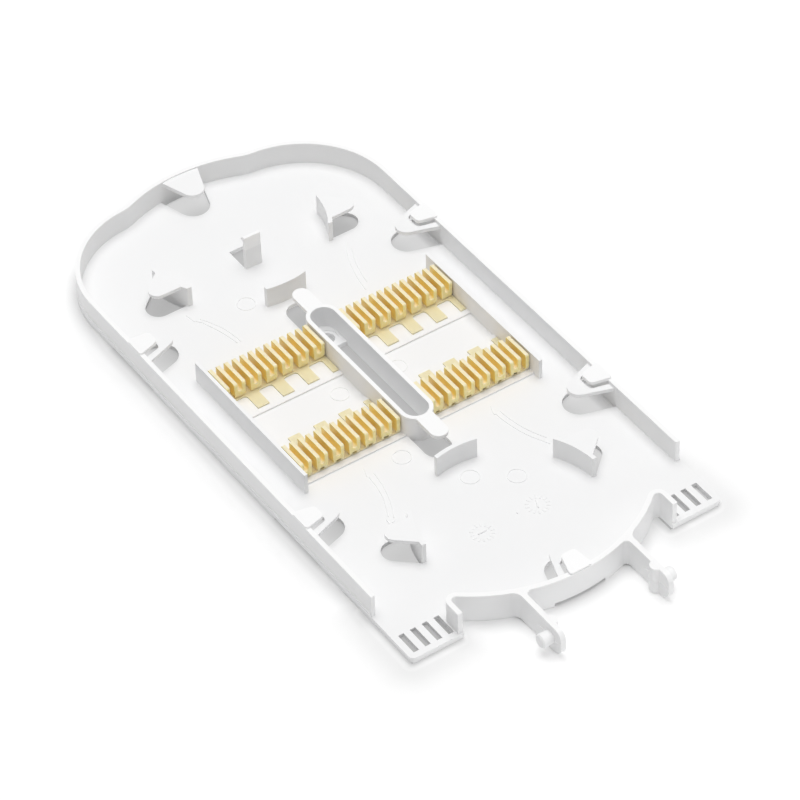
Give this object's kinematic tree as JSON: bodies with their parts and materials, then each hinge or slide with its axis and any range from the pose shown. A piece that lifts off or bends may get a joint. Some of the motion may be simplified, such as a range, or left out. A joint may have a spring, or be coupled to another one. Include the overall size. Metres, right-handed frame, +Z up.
{
  "type": "fibre splice tray",
  "caption": "Flat moulded tray that coils optical fibre slack and holds splice sleeves in comb shaped holders, with hinge pins on two arms at the front",
  "frame": {"origin": "on the resting plane (underside of the foot rim), in the middle of the overall length and width", "axes": "+Z up out of the open tray; +Y along the length from the hinge arms to the rounded rear end; +X across the width, to the right when looking from the hinge end"},
  "size_m": [0.095, 0.2032, 0.0125],
  "materials": {
    "white_plastic": "satin",
    "amber_plastic": "satin"
  },
  "bodies": {
    "root": {"tray": "white_plastic", "splice_holder_front_left": "amber_plastic", "splice_holder_front_right": "amber_plastic", "splice_holder_rear_left": "amber_plastic", "splice_holder_rear_right": "amber_plastic"}
  },
  "joints": []
}
